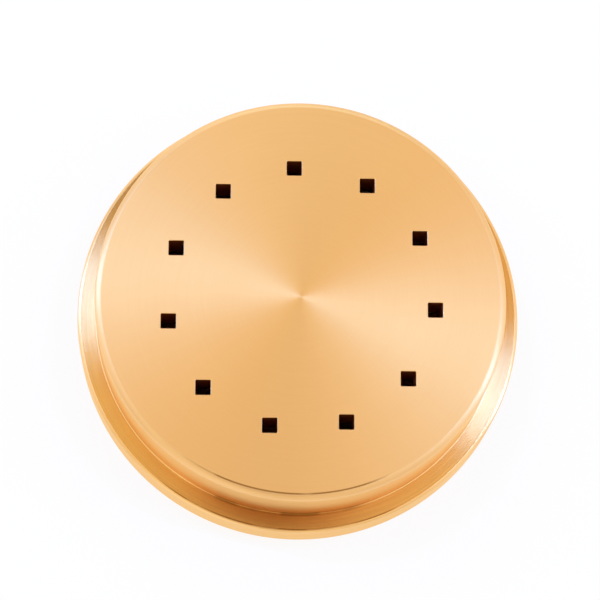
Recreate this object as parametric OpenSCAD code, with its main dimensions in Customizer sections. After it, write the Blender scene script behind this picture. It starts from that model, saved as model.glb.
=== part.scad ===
// Round pasta extrusion die, turned from one piece of bronze.
// Dough fills the chamber in the back and leaves as square strands through the outlets in the face.
// Frame: origin at the centre of the back, +Z out of the face. All sizes are in millimetres.

/* [Flange] */
// Diameter of the flange, which seats in the mouth of the extruder barrel
flange_d = 59; // [40:0.5:90]
// Thickness of the flange
flange_t = 5.5; // [3:0.1:12]
// Round on the flange's upper edge
flange_round = 0.45; // [0.1:0.05:0.8]
// Chamfer on the flange's lower edge, at the back of the die
back_chamfer = 0.4; // [0.1:0.05:0.8]

/* [Boss] */
// Width of the shoulder on which the ring nut of the extruder clamps
shoulder_w = 2.6; // [1.6:0.1:5]
// Height of the boss above the shoulder
boss_h = 9.4; // [5:0.1:20]
// Round between the boss and its face
face_round = 0.85; // [0.2:0.05:1.5]
// Fillet in the corner between the boss and the shoulder
foot_fillet = 0.2; // [0.1:0.05:0.6]

/* [Dough chamber] */
// Wall between the chamber and the outside of the boss
chamber_wall = 4.4; // [2.5:0.1:8]
// Chamfer at the mouth of the chamber
mouth_chamfer = 0.5; // [0.1:0.1:1.5]

/* [Outlets] */
// Number of outlets in the ring
outlet_count = 11; // [3:1:16]
// Distance from the chamber's wall to the middles of the outlets
outlet_inset = 4.9; // [3.5:0.1:8]
// Direction of the first outlet, anticlockwise from +X
first_outlet_angle = 93; // [0:1:359]
// Side of a square outlet
outlet_side = 2; // [1:0.1:3]
// Radius in the corners of an outlet
outlet_corner = 0.15; // [0.05:0.01:0.3]
// Length of an outlet, which is the thickness of the face plate
outlet_land = 5; // [2:0.1:8]

/* [Hidden] */
$fn = 96;
boss_d = flange_d - 2 * shoulder_w;
die_h = flange_t + boss_h;
chamber_d = boss_d - 2 * chamber_wall;
chamber_h = die_h - outlet_land;
outlet_ring_d = chamber_d - 2 * outlet_inset;
// Distance by which a cutter stands clear of the face that it opens
cut = 1;

// A square with its corners rounded, centred on the origin
module rounded_square(side, corner) {
    inner = side - 2 * corner;
    square([side, inner], center = true);
    square([inner, side], center = true);
    for (x = [-1, 1], y = [-1, 1])
        translate([x * inner / 2, y * inner / 2]) circle(r = corner);
}

// What a round takes off an outer corner at the origin, with material below it and to its left
module corner_waste(r) {
    translate([-r, -r])
        difference() {
            square(r + cut);
            circle(r = r);
        }
}

// Half section of the flange, with both edges of its rim broken
module flange_section() {
    rim = flange_d / 2;
    difference() {
        square([rim, flange_t]);
        translate([rim, flange_t]) corner_waste(flange_round);
        polygon([[rim - back_chamfer, 0], [rim + cut, -cut], [rim + cut, back_chamfer + cut], [rim, back_chamfer]]);
    }
}

// Half section of the boss, from the back up to the face
module boss_section() {
    difference() {
        square([boss_d / 2, die_h]);
        translate([boss_d / 2, die_h]) corner_waste(face_round);
    }
}

// Fillet between the boss and the shoulder
module foot_section() {
    translate([boss_d / 2, flange_t])
        difference() {
            square(foot_fillet);
            translate([foot_fillet, foot_fillet]) circle(r = foot_fillet);
        }
}

// Half section of the dough chamber, with a chamfered mouth
module chamber_section() {
    wall = chamber_d / 2;
    translate([0, -cut]) square([wall, chamber_h + cut]);
    polygon([[0, -cut], [wall + mouth_chamfer + cut, -cut], [wall, mouth_chamfer], [0, mouth_chamfer]]);
}

// The turned blank, before the outlets are cut
module blank() {
    rotate_extrude()
        difference() {
            union() {
                flange_section();
                boss_section();
                foot_section();
            }
            chamber_section();
        }
}

// One square outlet through the face plate
module outlet() {
    translate([0, 0, chamber_h - cut])
        linear_extrude(outlet_land + 2 * cut) rounded_square(outlet_side, outlet_corner);
}

// All outlets stand square to X and Y, wherever they lie on the ring
module die_body() {
    color([0.93, 0.68, 0.38])
        difference() {
            blank();
            for (i = [0 : outlet_count - 1]) {
                angle = first_outlet_angle + i * 360 / outlet_count;
                translate(outlet_ring_d / 2 * [cos(angle), sin(angle), 0]) outlet();
            }
        }
}

die_body();
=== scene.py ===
"""A turned bronze pasta die, modelled over its CAD solid, with its finish, light and camera."""
import math

import bmesh
import bpy
from mathutils import Matrix, Vector


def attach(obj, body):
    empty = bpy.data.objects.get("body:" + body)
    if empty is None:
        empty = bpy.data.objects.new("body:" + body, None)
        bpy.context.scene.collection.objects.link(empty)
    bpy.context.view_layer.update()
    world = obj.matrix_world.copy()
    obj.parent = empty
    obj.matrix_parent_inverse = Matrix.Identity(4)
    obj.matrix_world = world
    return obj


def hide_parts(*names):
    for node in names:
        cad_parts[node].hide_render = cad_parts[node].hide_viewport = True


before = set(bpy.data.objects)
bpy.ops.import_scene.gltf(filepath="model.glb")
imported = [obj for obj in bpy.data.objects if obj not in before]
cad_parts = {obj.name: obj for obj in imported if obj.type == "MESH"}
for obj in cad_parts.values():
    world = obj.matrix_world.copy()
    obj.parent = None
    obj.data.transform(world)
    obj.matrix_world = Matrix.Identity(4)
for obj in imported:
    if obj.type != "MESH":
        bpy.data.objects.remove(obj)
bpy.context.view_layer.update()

MM = 0.001

# Sizes of the die, as in the part's source
FLANGE_R = 29.5 * MM
FLANGE_T = 5.5 * MM
FLANGE_ROUND = 0.45 * MM
BACK_CHAMFER = 0.4 * MM
SHOULDER_W = 2.6 * MM
BOSS_R = FLANGE_R - SHOULDER_W
BOSS_H = 9.4 * MM
FACE_Z = FLANGE_T + BOSS_H
FACE_ROUND = 0.85 * MM
FOOT_FILLET = 0.2 * MM
CHAMBER_R = 22.5 * MM
CHAMBER_H = 9.9 * MM
MOUTH_CHAMFER = 0.5 * MM
OUTLET_COUNT = 11
OUTLET_RING_R = 17.6 * MM
FIRST_OUTLET_ANGLE = 93
OUTLET_SIDE = 2.0 * MM
OUTLET_CORNER = 0.15 * MM
# Break on the outlets' edges at the face, too fine for the part's source
OUTLET_EDGE_BREAK = 0.05 * MM

# Steps of the mesh round the axis, and across each edge that is rounded or broken
TURN_STEPS = 288
FLANGE_ROUND_STEPS = 8
FACE_ROUND_STEPS = 12
FOOT_FILLET_STEPS = 6
CHAMFER_STEPS = 1
OUTLET_CORNER_STEPS = 4
# Section of a rounded edge: an arc
ARC = 0.5
# Faces that meet at less than this angle are shaded as one smooth surface
SMOOTH_ANGLE = math.radians(30)
# Length by which a cutter stands clear of what it cuts
CUT_CLEARANCE = 1 * MM
# Distance within which a point is on a surface
NEAR = 0.01 * MM
# Z of a normal: above FLAT on a flat surface, below UPRIGHT on a wall, above SLOPING on an outlet's broken edge
FLAT = 0.999
UPRIGHT = 0.01
SLOPING = 0.3

# Surfaces of the die, numbered as the slots of their materials
FACE, SHOULDER, WALL, EDGE, CHAMBER, OUTLET, FACE_EDGE = range(7)

# Distance between two turns of the lathe tool, and the depth of its grooves
FINE_PITCH = 0.15 * MM
COARSE_PITCH = 0.25 * MM
GROOVE_DEPTH = 0.006 * MM
# How fast a line of the tool fades and starts again on its way round
LINE_FADING = 2.5
# Turn of the highlights, as a share of a full turn, that spreads them across the lines
ACROSS_LINES = 0.25
# Lines and smudges together, where a surface is fresh and where it is worn
FRESH, WORN = 0.6, 1.4
# Tint of the metal at a low angle that leaves its tone as it is
PLAIN_TINT = (1, 1, 1)

SPECK_TONE = (1.0, 0.72, 0.42)
# Specks of dust to a metre, and distances from a speck's middle at which it starts and is full, of their spacing
SPECK_SCALE = 260.0
SPECK_RIM, SPECK_CORE = 0.05, 0.03
# Painted shade: tone that darkens the boss's wall low down on the front
FOOT_SHADE_TONE = (0.80, 0.38, 0.11)
# Heights between which the painted shade low on the boss's wall starts and is full, and its reach round the
# front
FOOT_SHADE_START, FOOT_SHADE_FULL = FLANGE_T + 5.5 * MM, FLANGE_T + 1.5 * MM
FOOT_SHADE_LIMIT, FOOT_SHADE_FADE = 0.92, 0.10
# Painted shade: tone of the dark lines in the corners and along the rounded edges on the front
PAINTED_SHADE_TONE = (0.40, 0.18, 0.04)
# Direction of the front, which holds the painted shade, and how ragged its ends are
FRONT_ANGLE = math.radians(265)
RAGGED = 0.1
# Radius and height of each ring of painted shade, how far it reaches, where it is full, and how far round it
# goes, with how softly it ends there
PAINTED_SHADE_RINGS = (
    (BOSS_R, FLANGE_T, 0.5 * MM, 0.15 * MM, 0.95),
    (BOSS_R - FACE_ROUND, FACE_Z, 0.14 * MM, 0.06 * MM, 0.90),
    (FLANGE_R - FLANGE_ROUND, FLANGE_T, 0.10 * MM, 0.04 * MM, 0.87))
PAINTED_SHADE_FADE = 0.06
# Where the painted shade is broken and where it is whole, and how much of it is left at either
SHADE_GAP, SHADE_WHOLE = 0.38, 0.48
SHADE_LEFT_IN_GAP, SHADE_LEFT_WHOLE = 0.4, 0.95

# Camera, from the circles of the face and the flange in the photograph
CAMERA_DISTANCE = 325.75 * MM
CAMERA_TILT = math.radians(15.0)
CAMERA_TURN = math.radians(-2.4)
CAMERA_AIM = (-0.173 * MM, -0.420 * MM)
CAMERA_LENS = 150
CAMERA_NEAREST = 10 * MM

TABLE_SIZE = 6
TABLE_TONE = (0.97, 0.97, 0.97)
# How white the table is where it is seen; the rest shows the die's shadow
TABLE_WHITE = 0.85

# Light of the tent: overhead, low down, and in the folds that turn away from the light
TENT_LEVEL = (1.04, 0.91, 0.67)
TENT_LOW_LEVEL = (1.15, 1.17, 1.26)
TENT_FOLD_LEVEL = (0.55, 0.51, 0.46)
# Heights, as shares of the tent's, between which the overhead cloth becomes the hanging cloth
TENT_HIGH, TENT_LOW = 0.6, 0.1
# Where the uneven cloth starts to turn away in a fold, and where it has
FOLD_START, FOLD_FULL = 0.42, 0.58
# Darker patches of the tent: fan angle and tilt of the mark that shows one, in degrees, its half length and
# half width, in degrees, and its light
TENT_PATCHES = (
    (225, 0, 40, 13, (0.95, 0.85, 0.48)),
    (144, 10, 15, 4.5, (0.15, 0.07, 0.015)),
    (18, 8, 14, 7, (0.80, 0.50, 0.20)))
# Opening of the tent for the camera: half length, half width and light
CAMERA_OPENING = (22, 10, (0.24, 0.13, 0.07))
# A patch ends softly between these shares of its half size
PATCH_RIM, PATCH_CORE = 1.3, 0.7

# Fan angle of the strip lights on each side, in degrees
STRIP_ANGLES = (("Left", 177), ("Right", -24))
# Strip lights of a side: end of the name, tilts of the marks that show the light's two ends, and radiance
STRIPS = ((" strip", 8, 16, 7.3), (" low strip", 24, 42, 5.0))
STRIP_DISTANCE, STRIP_WIDTH = 0.7, 0.125
STRIP_COLOUR = (0.22, 0.62, 1.85)
BACK_LIGHT_ANGLE, BACK_LIGHT_TILTS = 90, (10, 22)
BACK_LIGHT_DISTANCE, BACK_LIGHT_WIDTH = 0.16, 0.10
BACK_LIGHT_RADIANCE = 1.0
BACK_LIGHT_COLOUR = (0.45, 0.85, 1.5)


def pick_faces(piece, wanted):
    """Select only the faces of the piece in edit mode that are wanted, by their normal."""
    bpy.ops.mesh.select_mode(type="FACE")
    bpy.ops.mesh.select_all(action="DESELECT")
    mesh = bmesh.from_edit_mesh(piece.data)
    for face in mesh.faces:
        if wanted(face.normal):
            face.select_set(True)
    bmesh.update_edit_mesh(piece.data)


def pick_edges(piece, wanted):
    """Select only the edges of the piece in edit mode that are wanted, by the places of their two ends."""
    bpy.ops.mesh.select_mode(type="EDGE")
    bpy.ops.mesh.select_all(action="DESELECT")
    mesh = bmesh.from_edit_mesh(piece.data)
    for edge in mesh.edges:
        if wanted(*(vertex.co for vertex in edge.verts)):
            edge.select_set(True)
    bmesh.update_edit_mesh(piece.data)


def break_edges(size, steps):
    """Round, fillet or chamfer the picked edges."""
    bpy.ops.mesh.bevel(offset=size, offset_type="OFFSET", segments=steps, profile=ARC, affect="EDGES")


def turned_edge(piece, radius, height, size, steps):
    """Round, fillet or chamfer the turned edge at a radius and a height."""
    def on_edge(place):
        return abs(math.hypot(place.x, place.y) - radius) < NEAR and abs(place.z - height) < NEAR

    pick_edges(piece, lambda start, end: on_edge(start) and on_edge(end))
    break_edges(size, steps)


def draw_out(height):
    """Extrude the picked faces along the die's axis."""
    bpy.ops.mesh.extrude_region_move(TRANSFORM_OT_translate={"value": (0, 0, height)})


def turn_blank():
    """The die before its outlets are cut: flange, shoulder, boss and the dough chamber in its back."""
    bpy.ops.object.select_all(action="DESELECT")
    bpy.ops.mesh.primitive_cylinder_add(
        vertices=TURN_STEPS, radius=FLANGE_R, depth=FLANGE_T, end_fill_type="NGON",
        location=(0, 0, FLANGE_T / 2))
    blank = bpy.context.active_object
    blank.name = "die"
    bpy.ops.object.transform_apply(location=True, rotation=True, scale=True)
    bpy.ops.object.mode_set(mode="EDIT")
    pick_faces(blank, lambda normal: normal.z > FLAT)
    bpy.ops.mesh.inset(thickness=SHOULDER_W)
    draw_out(BOSS_H)
    pick_faces(blank, lambda normal: normal.z < -FLAT)
    bpy.ops.mesh.inset(thickness=FLANGE_R - CHAMBER_R)
    draw_out(CHAMBER_H)
    turned_edge(blank, FLANGE_R, FLANGE_T, FLANGE_ROUND, FLANGE_ROUND_STEPS)
    turned_edge(blank, BOSS_R, FACE_Z, FACE_ROUND, FACE_ROUND_STEPS)
    turned_edge(blank, BOSS_R, FLANGE_T, FOOT_FILLET, FOOT_FILLET_STEPS)
    turned_edge(blank, FLANGE_R, 0, BACK_CHAMFER, CHAMFER_STEPS)
    turned_edge(blank, CHAMBER_R, 0, MOUTH_CHAMFER, CHAMFER_STEPS)
    bpy.ops.object.mode_set(mode="OBJECT")
    return blank


def outlet_cutter():
    """One square cutter with rounded corners that flares at the face, to break the outlet's edge."""
    foot, top = CHAMBER_H - CUT_CLEARANCE, FACE_Z - OUTLET_EDGE_BREAK
    bpy.ops.object.select_all(action="DESELECT")
    bpy.ops.mesh.primitive_cube_add(
        size=1, location=(0, 0, (foot + top) / 2), scale=(OUTLET_SIDE, OUTLET_SIDE, top - foot))
    cutter = bpy.context.active_object
    cutter.name = "outlet_cutter"
    bpy.ops.object.transform_apply(location=True, rotation=True, scale=True)
    bpy.ops.object.mode_set(mode="EDIT")
    pick_edges(cutter, lambda start, end: abs(start.z - end.z) > NEAR)
    break_edges(OUTLET_CORNER, OUTLET_CORNER_STEPS)
    pick_faces(cutter, lambda normal: normal.z > FLAT)
    flare = 1 + 2 * OUTLET_EDGE_BREAK / OUTLET_SIDE
    draw_out(OUTLET_EDGE_BREAK)
    bpy.ops.transform.resize(value=(flare, flare, 1), center_override=(0, 0, FACE_Z))
    draw_out(CUT_CLEARANCE)
    bpy.ops.object.mode_set(mode="OBJECT")
    return cutter


def cut_outlets(blank):
    """The ring of outlets, all square to the same two directions, cut through the plate."""
    first = outlet_cutter()
    cutters = []
    for outlet in range(OUTLET_COUNT):
        angle = math.radians(FIRST_OUTLET_ANGLE + outlet * 360 / OUTLET_COUNT)
        cutter = first.copy()
        cutter.data = first.data.copy()
        cutter.location = (OUTLET_RING_R * math.cos(angle), OUTLET_RING_R * math.sin(angle), 0)
        bpy.context.scene.collection.objects.link(cutter)
        cutters.append(cutter)
    bpy.data.objects.remove(first)
    bpy.ops.object.select_all(action="DESELECT")
    for cutter in cutters:
        cutter.select_set(True)
    bpy.context.view_layer.objects.active = cutters[0]
    bpy.ops.object.join()
    tool = bpy.context.active_object
    bpy.ops.object.transform_apply(location=True, rotation=True, scale=True)
    bpy.ops.object.select_all(action="DESELECT")
    blank.select_set(True)
    bpy.context.view_layer.objects.active = blank
    cut = blank.modifiers.new("Outlets", "BOOLEAN")
    cut.operation = "DIFFERENCE"
    cut.solver = "EXACT"
    cut.object = tool
    bpy.ops.object.modifier_apply(modifier=cut.name)
    bpy.data.objects.remove(tool)
    bpy.ops.object.shade_smooth_by_angle(angle=SMOOTH_ANGLE)
    flats = blank.modifiers.new("Flats", "WEIGHTED_NORMAL")
    flats.keep_sharp = True
    bpy.ops.object.modifier_apply(modifier=flats.name)


def set_or_link(tree, socket, value):
    """Give a socket a value of its own, or a link where the value is another node's output."""
    if isinstance(value, bpy.types.NodeSocket):
        tree.links.new(value, socket)
    else:
        socket.default_value = value


def number(tree, operation, *values):
    """Result of one step of arithmetic on numbers."""
    node = tree.nodes.new("ShaderNodeMath")
    node.operation = operation
    for socket, value in zip(node.inputs, values):
        set_or_link(tree, socket, value)
    return node.outputs[0]


def vector(tree, operation, *values, result="Vector"):
    """Result of one step of arithmetic on vectors: a vector, or with result="Value" a number."""
    node = tree.nodes.new("ShaderNodeVectorMath")
    node.operation = operation
    for socket, value in zip(node.inputs, values):
        set_or_link(tree, socket, value)
    return node.outputs[result]


def split(tree, place):
    """X, Y and Z of a place."""
    node = tree.nodes.new("ShaderNodeSeparateXYZ")
    tree.links.new(place, node.inputs[0])
    return node.outputs["X"], node.outputs["Y"], node.outputs["Z"]


def join(tree, **axes):
    """Place from the axes that are given; the others are 0."""
    node = tree.nodes.new("ShaderNodeCombineXYZ")
    for axis, value in axes.items():
        tree.links.new(value, node.inputs[axis])
    return node.outputs[0]


def fade(tree, value, start, full, low=0.0, high=1.0, soft=False):
    """Number that goes from low to high as the value goes from start to full, and no further."""
    node = tree.nodes.new("ShaderNodeMapRange")
    node.interpolation_type = "SMOOTHSTEP" if soft else "LINEAR"
    for name, setting in (
            ("Value", value), ("From Min", start), ("From Max", full), ("To Min", low), ("To Max", high)):
        set_or_link(tree, node.inputs[name], setting)
    return node.outputs[0]


def mottle(tree, place, scale, detail, variant=None):
    """Uneven mask round a half, with spots of a scale; a variant gives other spots."""
    node = tree.nodes.new("ShaderNodeTexNoise")
    if variant is not None:
        node.noise_dimensions = "4D"
        node.inputs["W"].default_value = variant
    node.inputs["Scale"].default_value = scale
    node.inputs["Detail"].default_value = detail
    tree.links.new(place, node.inputs["Vector"])
    return node.outputs["Fac"]


def mix_tones(tree, share, tone_a, tone_b):
    """Colour that goes from one tone to the other with a share; a tone is a colour or a socket."""
    mix = tree.nodes.new("ShaderNodeMix")
    mix.data_type = "RGBA"
    tree.links.new(share, mix.inputs["Factor"])
    for tone, socket in ((tone_a, "A"), (tone_b, "B")):
        set_or_link(tree, mix.inputs[socket], (*tone, 1) if isinstance(tone, tuple) else tone)
    return mix.outputs["Result"]


def turning_marks_group():
    """Lines of the lathe tool, smudges of handling, specks of dust, and painted shade on the front: dark lines
    in the corners and along the rounded edges, and the boss's wall darker low down; each from 0 to 1."""
    group = bpy.data.node_groups.new("Turning marks", "ShaderNodeTree")
    pitch = group.interface.new_socket("Pitch", in_out="INPUT", socket_type="NodeSocketFloat")
    pitch.default_value = FINE_PITCH
    for name in ("Lines", "Smudges", "Specks", "Painted shade", "Painted foot shade"):
        group.interface.new_socket(name, in_out="OUTPUT", socket_type="NodeSocketFloat")
    inputs = group.nodes.new("NodeGroupInput")
    outputs = group.nodes.new("NodeGroupOutput")
    place = group.nodes.new("ShaderNodeTexCoord").outputs["Object"]
    x, y, height = split(group, place)
    from_axis = join(group, X=x, Y=y)
    radius = vector(group, "LENGTH", from_axis, result="Value")
    heading = vector(group, "NORMALIZE", from_axis)

    # Way along the section, out over the face and down the wall, in turns of the tool
    along = number(group, "SUBTRACT", radius, height)
    turns = number(group, "DIVIDE", along, inputs.outputs["Pitch"])
    # Way round the axis, so that a line fades and starts again a few times on its turn
    round_axis = vector(group, "MULTIPLY", heading, (LINE_FADING, LINE_FADING, LINE_FADING))
    line_place = vector(group, "ADD", round_axis, join(group, Z=turns))
    lines = mottle(group, line_place, scale=1.0, detail=3.0)
    smudges = mottle(group, place, scale=90.0, detail=4.0)

    dust = group.nodes.new("ShaderNodeTexVoronoi")
    dust.inputs["Scale"].default_value = SPECK_SCALE
    group.links.new(place, dust.inputs["Vector"])
    specks = fade(group, dust.outputs["Distance"], SPECK_RIM, SPECK_CORE)

    # How near a place is to the middle of the front, with ragged ends
    middle = (math.cos(FRONT_ANGLE), math.sin(FRONT_ANGLE), 0)
    even_front = vector(group, "DOT_PRODUCT", heading, middle, result="Value")
    front = number(group, "MULTIPLY_ADD", lines, RAGGED, even_front)

    # Painted shade: the boss's wall is darker on the front, low down towards its foot
    low_down = fade(group, height, FOOT_SHADE_START, FOOT_SHADE_FULL)
    on_boss = number(group, "LESS_THAN", radius, BOSS_R + FOOT_FILLET)
    low_on_boss = number(group, "MULTIPLY", low_down, on_boss)
    at_front = fade(group, front, FOOT_SHADE_LIMIT, FOOT_SHADE_LIMIT + FOOT_SHADE_FADE)
    painted_foot_shade = number(group, "MULTIPLY", low_on_boss, at_front)

    # Painted shade: dark lines on the front, in the boss's corner and where the face and the flange's top meet
    # their rounded edges
    section = join(group, X=radius, Y=height)
    rings = []
    for ring_radius, ring_height, reach, full, limit in PAINTED_SHADE_RINGS:
        off_ring = vector(group, "DISTANCE", section, (ring_radius, ring_height, 0), result="Value")
        on_ring = fade(group, off_ring, reach, full)
        at_front = fade(group, front, limit, limit + PAINTED_SHADE_FADE)
        rings.append(number(group, "MULTIPLY", on_ring, at_front))
    all_painted_shade = rings[0]
    for ring in rings[1:]:
        all_painted_shade = number(group, "MAXIMUM", all_painted_shade, ring)
    # The painted shade is broken here and there
    shade_breaks = mottle(group, place, scale=240.0, detail=0.0)
    shade_left = fade(group, shade_breaks, SHADE_GAP, SHADE_WHOLE, SHADE_LEFT_IN_GAP, SHADE_LEFT_WHOLE)
    painted_shade = number(group, "MULTIPLY", all_painted_shade, shade_left)

    for name, mask in (("Lines", lines), ("Smudges", smudges), ("Specks", specks),
                       ("Painted shade", painted_shade), ("Painted foot shade", painted_foot_shade)):
        group.links.new(mask, outputs.inputs[name])
    return group


def bronze(name, marks, tone, worn_tone, roughness, anisotropy, streak=0.02, relief=1.0,
           pitch=FINE_PITCH, dusty=False, edge_tint=PLAIN_TINT):
    """Turned bronze: its highlights spread across the lines of the tool, which streak its gloss and tone."""
    material = bpy.data.materials.new(name)
    material.use_nodes = True
    tree = material.node_tree
    shader = tree.nodes["Principled BSDF"]
    shader.inputs["Metallic"].default_value = 1.0
    shader.inputs["Anisotropic"].default_value = anisotropy
    shader.inputs["Anisotropic Rotation"].default_value = ACROSS_LINES
    shader.inputs["Specular Tint"].default_value = (*edge_tint, 1)
    tangent = tree.nodes.new("ShaderNodeTangent")
    tangent.direction_type = "RADIAL"
    tangent.axis = "Z"
    turned = tree.nodes.new("ShaderNodeGroup")
    turned.node_tree = marks
    turned.inputs["Pitch"].default_value = pitch
    wear = number(tree, "ADD", turned.outputs["Lines"], turned.outputs["Smudges"])
    colour = mix_tones(tree, fade(tree, wear, FRESH, WORN), tone, worn_tone)
    # Painted shade: the boss's wall darker low down on the front
    colour = mix_tones(tree, turned.outputs["Painted foot shade"], colour, FOOT_SHADE_TONE)
    # Painted shade: dark lines in the corners and along the rounded edges on the front
    colour = mix_tones(tree, turned.outputs["Painted shade"], colour, PAINTED_SHADE_TONE)
    if dusty:
        colour = mix_tones(tree, turned.outputs["Specks"], colour, SPECK_TONE)
    gloss = fade(tree, wear, FRESH, WORN, roughness - streak, roughness + streak)
    grooves = tree.nodes.new("ShaderNodeBump")
    grooves.inputs["Strength"].default_value = relief
    grooves.inputs["Distance"].default_value = GROOVE_DEPTH
    tree.links.new(turned.outputs["Lines"], grooves.inputs["Height"])
    for socket, output in (("Base Color", colour), ("Roughness", gloss),
                           ("Normal", grooves.outputs[0]), ("Tangent", tangent.outputs[0])):
        tree.links.new(output, shader.inputs[socket])
    return material


def surface_of(polygon):
    """Which of the die's surfaces a polygon is on."""
    centre, normal = polygon.center, polygon.normal
    radius = math.hypot(centre.x, centre.y)
    if normal.z > FLAT and centre.z > FACE_Z - NEAR:
        return FACE
    if normal.z > FLAT and centre.z > FLANGE_T - NEAR:
        return SHOULDER
    if centre.z > CHAMBER_H + NEAR and radius < CHAMBER_R:
        return EDGE if normal.z > SLOPING else OUTLET
    if radius < CHAMBER_R + NEAR:
        return CHAMBER
    if centre.z > FACE_Z - FACE_ROUND:
        return FACE_EDGE
    if abs(normal.z) < UPRIGHT:
        return WALL
    return EDGE


def finish_die(die):
    """Each surface of the die has the gloss that its cut left: broad on the face, tight on the shoulder."""
    marks = turning_marks_group()
    finishes = {
        FACE: bronze(
            "Turned face", marks, (0.97, 0.57, 0.21), (0.95, 0.55, 0.197), roughness=0.49, anisotropy=0.70),
        SHOULDER: bronze(
            "Turned shoulder", marks, (0.95, 0.59, 0.25), (0.77, 0.445, 0.175), roughness=0.23, anisotropy=1.0,
            streak=0.03, dusty=True),
        WALL: bronze(
            "Turned wall", marks, (0.97, 0.60, 0.235), (0.95, 0.58, 0.22), roughness=0.32, anisotropy=0.83,
            streak=0.04, relief=2.0, pitch=COARSE_PITCH, dusty=True, edge_tint=(1.0, 0.93, 0.75)),
        # The rounded edges' tone, paler than the face's, is a painted highlight
        EDGE: bronze(
            "Rounded edges", marks, (1.0, 0.64, 0.28), (0.98, 0.62, 0.265), roughness=0.33, anisotropy=0.75,
            pitch=COARSE_PITCH, edge_tint=(1.0, 0.95, 0.85)),
        CHAMBER: bronze(
            "Turned chamber", marks, (0.97, 0.585, 0.225), (0.95, 0.565, 0.21), roughness=0.42, anisotropy=0.80,
            streak=0.05, relief=2.0, pitch=COARSE_PITCH),
        OUTLET: bronze(
            "Cut outlets", marks, (0.72, 0.25, 0.08), (0.58, 0.19, 0.05), roughness=0.45, anisotropy=0.0,
            streak=0.05),
        # The rounded face edge's tone, paler than the face's, is a painted highlight
        FACE_EDGE: bronze(
            "Rounded face edge", marks, (1.0, 0.64, 0.285), (0.98, 0.62, 0.27), roughness=0.44, anisotropy=0.75,
            streak=0.01, relief=0.3)}
    mesh = die.data
    mesh.materials.clear()
    for surface in sorted(finishes):
        mesh.materials.append(finishes[surface])
    for polygon in mesh.polygons:
        polygon.material_index = surface_of(polygon)


def frame_of(side, upright, out):
    """Turn that puts an object's X, Y and Z along three directions."""
    return Matrix((side, upright, out)).transposed().to_4x4()


def add_camera():
    """Camera at the photograph's angle. The direction from the die to it is handed back."""
    tilt, turn = CAMERA_TILT, CAMERA_TURN
    right = Vector((math.cos(turn), 0, -math.sin(turn)))
    up = Vector((math.sin(turn) * math.sin(tilt), math.cos(tilt), math.cos(turn) * math.sin(tilt)))
    back = right.cross(up)
    data = bpy.data.cameras.new("Camera")
    data.lens = CAMERA_LENS
    data.clip_start = CAMERA_NEAREST
    camera = bpy.data.objects.new("Camera", data)
    place = Vector((0, 0, FACE_Z)) + back * CAMERA_DISTANCE + right * CAMERA_AIM[0] + up * CAMERA_AIM[1]
    camera.matrix_world = Matrix.Translation(place) @ frame_of(right, up, back)
    bpy.context.scene.collection.objects.link(camera)
    bpy.context.scene.camera = camera
    return back


def add_floor():
    """White table. The camera and the metal see it as white, with a soft shadow outside the die's foot."""
    bpy.ops.object.select_all(action="DESELECT")
    bpy.ops.mesh.primitive_plane_add(size=TABLE_SIZE)
    floor = bpy.context.active_object
    floor.name = "Floor"
    material = bpy.data.materials.new("White table")
    material.use_nodes = True
    tree = material.node_tree
    shader = tree.nodes["Principled BSDF"]
    shader.inputs["Base Color"].default_value = (*TABLE_TONE, 1)
    shader.inputs["Roughness"].default_value = 1.0
    shader.inputs["Specular IOR Level"].default_value = 0.0
    white = tree.nodes.new("ShaderNodeEmission")
    ray = tree.nodes.new("ShaderNodeLightPath")
    seen = number(tree, "ADD", ray.outputs["Is Camera Ray"], ray.outputs["Is Glossy Ray"])
    place = tree.nodes.new("ShaderNodeTexCoord").outputs["Object"]
    from_axis = vector(tree, "LENGTH", place, result="Value")
    foot = FLANGE_R - BACK_CHAMFER
    outside = fade(tree, from_axis, foot, foot + NEAR, 0.0, TABLE_WHITE)
    mix = tree.nodes.new("ShaderNodeMixShader")
    tree.links.new(number(tree, "MULTIPLY", seen, outside), mix.inputs["Fac"])
    tree.links.new(shader.outputs[0], mix.inputs[1])
    tree.links.new(white.outputs[0], mix.inputs[2])
    tree.links.new(mix.outputs[0], tree.nodes["Material Output"].inputs["Surface"])
    floor.data.materials.append(material)


def shown_by_mark(towards_camera, fan_angle, tilt):
    """Direction that the camera sees in a mark on the face that tilts towards a fan angle."""
    a, t = math.radians(fan_angle), math.radians(tilt)
    mark = Vector((math.sin(t) * math.cos(a), math.sin(t) * math.sin(a), math.cos(t)))
    return mark * 2 * mark.dot(towards_camera) - towards_camera


def add_strip_light(name, towards_camera, fan_angle, tilts, distance, width, radiance, colour):
    """Strip light whose gleam fans out on the face at one angle, shown by the marks between two tilts."""
    near, far = (shown_by_mark(towards_camera, fan_angle, tilt) for tilt in tilts)
    middle = (near + far).normalized()
    along = (far - near).normalized()
    length = 2 * distance * math.tan(near.angle(far) / 2)
    data = bpy.data.lights.new(name, "AREA")
    data.shape = "RECTANGLE"
    data.size, data.size_y = length, width
    data.energy = radiance * math.pi * length * width
    data.color = colour
    lamp = bpy.data.objects.new(name, data)
    lamp.matrix_world = Matrix.Translation(middle * distance) @ frame_of(along, middle.cross(along), middle)
    lamp.visible_camera = False
    bpy.context.scene.collection.objects.link(lamp)


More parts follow.
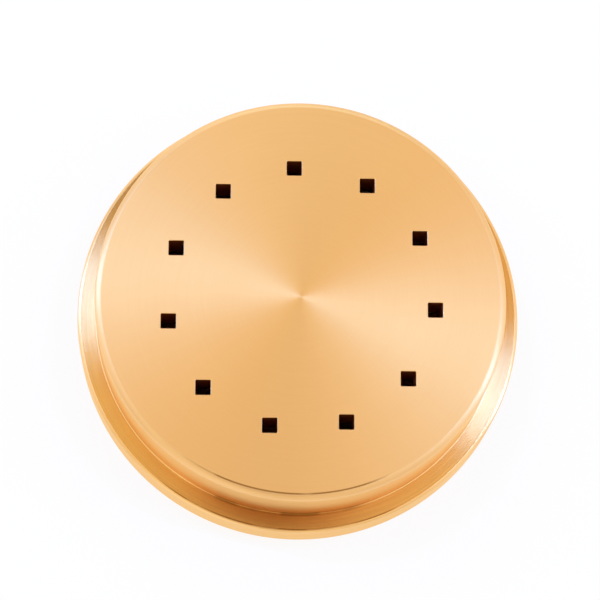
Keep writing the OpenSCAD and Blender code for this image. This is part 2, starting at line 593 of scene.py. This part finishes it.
def add_tent(towards_camera):
    """White tent round the table, which hangs in folds and has darker patches and an opening for the camera."""
    world = bpy.data.worlds.new("Tent")
    bpy.context.scene.world = world
    world.use_nodes = True
    tree = world.node_tree
    direction = tree.nodes.new("ShaderNodeTexCoord").outputs["Generated"]
    x, y, height = split(tree, direction)
    low = fade(tree, height, TENT_HIGH, TENT_LOW, soft=True)
    # The cloth hangs in folds near the table, which turn away from the light
    heading = vector(tree, "NORMALIZE", join(tree, X=x, Y=y))
    cloth = mottle(tree, heading, scale=2.4, detail=1.0, variant=1.0)
    fold = fade(tree, cloth, FOLD_START, FOLD_FULL, soft=True)
    hanging = mix_tones(tree, fold, TENT_LOW_LEVEL, TENT_FOLD_LEVEL)
    seen = mix_tones(tree, low, TENT_LEVEL, hanging)
    camera_angle = math.degrees(math.atan2(towards_camera.y, towards_camera.x))
    camera_tilt = math.degrees(math.acos(towards_camera.z))
    for fan_angle, tilt, half_length, half_width, level in (
            *TENT_PATCHES, (camera_angle, camera_tilt, *CAMERA_OPENING)):
        before, middle, after = (
            shown_by_mark(towards_camera, fan_angle, tilt + step) for step in (-1, 0, 1))
        along = (after - before).normalized()
        across = middle.cross(along)
        in_patch = {
            axis: vector(tree, "DOT_PRODUCT", direction, way / math.sin(math.radians(half)), result="Value")
            for axis, way, half in (("X", along, half_length), ("Y", across, half_width))}
        off_middle = vector(tree, "LENGTH", join(tree, **in_patch), result="Value")
        inside = fade(tree, off_middle, PATCH_RIM, PATCH_CORE, soft=True)
        seen = mix_tones(tree, inside, seen, level)
    tree.links.new(seen, tree.nodes["Background"].inputs["Color"])


die = turn_blank()
cut_outlets(die)
finish_die(die)
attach(die, "root")
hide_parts("die_body")
towards_camera = add_camera()
add_floor()
add_tent(towards_camera)
for side, fan_angle in STRIP_ANGLES:
    for kind, near_tilt, far_tilt, radiance in STRIPS:
        add_strip_light(
            side + kind, towards_camera, fan_angle, (near_tilt, far_tilt), STRIP_DISTANCE, STRIP_WIDTH,
            radiance, STRIP_COLOUR)
add_strip_light(
    "Back light", towards_camera, BACK_LIGHT_ANGLE, BACK_LIGHT_TILTS, BACK_LIGHT_DISTANCE, BACK_LIGHT_WIDTH,
    BACK_LIGHT_RADIANCE, BACK_LIGHT_COLOUR)
bpy.context.scene.view_settings.view_transform = "Standard"
